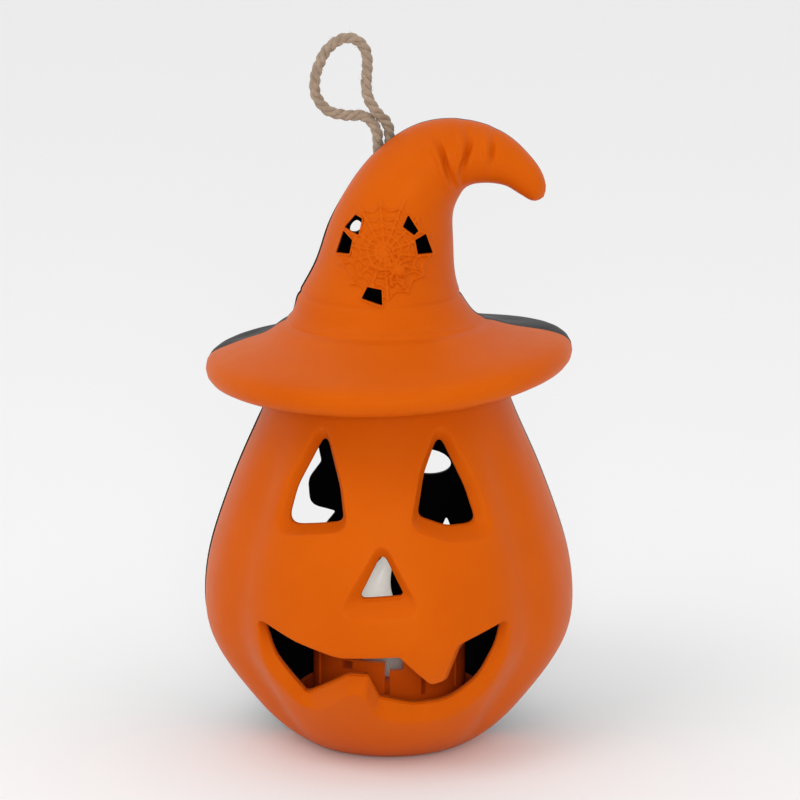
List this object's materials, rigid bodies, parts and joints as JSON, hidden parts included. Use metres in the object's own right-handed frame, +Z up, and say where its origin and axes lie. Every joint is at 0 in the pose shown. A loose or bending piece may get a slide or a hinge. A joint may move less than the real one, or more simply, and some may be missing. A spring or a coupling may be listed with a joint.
{
  "type": "pumpkin lantern",
  "caption": "Hanging jack-o'-lantern of two plastic half shells with a bent witch's hat, a twine loop and a removable LED tealight.",
  "frame": {"origin": "centre of the foot ring on the surface it stands on", "axes": "+Z up to the hat, the face looks along -Y, +X to the viewer's right, where the hat's tip bends"},
  "size_m": [0.111, 0.111, 0.2141],
  "materials": {
    "orange_shell": "satin moulded",
    "black_shell": "satin moulded",
    "orange_base": "moulded",
    "steel": "zinc plated",
    "jute": "twisted twine",
    "candle_white": "moulded",
    "cell_steel": "nickel plated",
    "contact": "spring strip",
    "board": "laminate",
    "switch_black": "moulded",
    "led_clear": "clear epoxy",
    "flame": "translucent"
  },
  "bodies": {
    "lantern": {"front_shell": "orange_shell", "back_shell": "black_shell", "shell_screws": "steel", "base_cup": "orange_base", "candle_collar": "orange_base", "hang_rope": "jute", "rope_knot": "jute"},
    "candle": {"light_housing": "orange_base", "light_base": "candle_white", "coin_cell": "cell_steel", "spring_contact": "contact", "side_contact": "contact", "circuit_board": "board", "switch_body": "switch_black", "led_lamp": "led_clear", "led_leads": "contact", "wick_cone": "candle_white", "flame_bulb": "flame"},
    "door": {"battery_door": "candle_white", "door_screw": "steel"},
    "slider": {"switch_slider": "switch_black"}
  },
  "joints": [
    {"name": "candle_slide", "type": "slide", "parent": "lantern", "child": "candle", "axis": [0, 0, -1], "range_m": [0, 0.056]},
    {"name": "door_lift", "type": "slide", "parent": "candle", "child": "door", "axis": [0, 0, -1], "range_m": [0, 0.008]},
    {"name": "switch_slide", "type": "slide", "parent": "candle", "child": "slider", "axis": [1, 0, 0], "range_m": [0, 0.0025]}
  ]
}
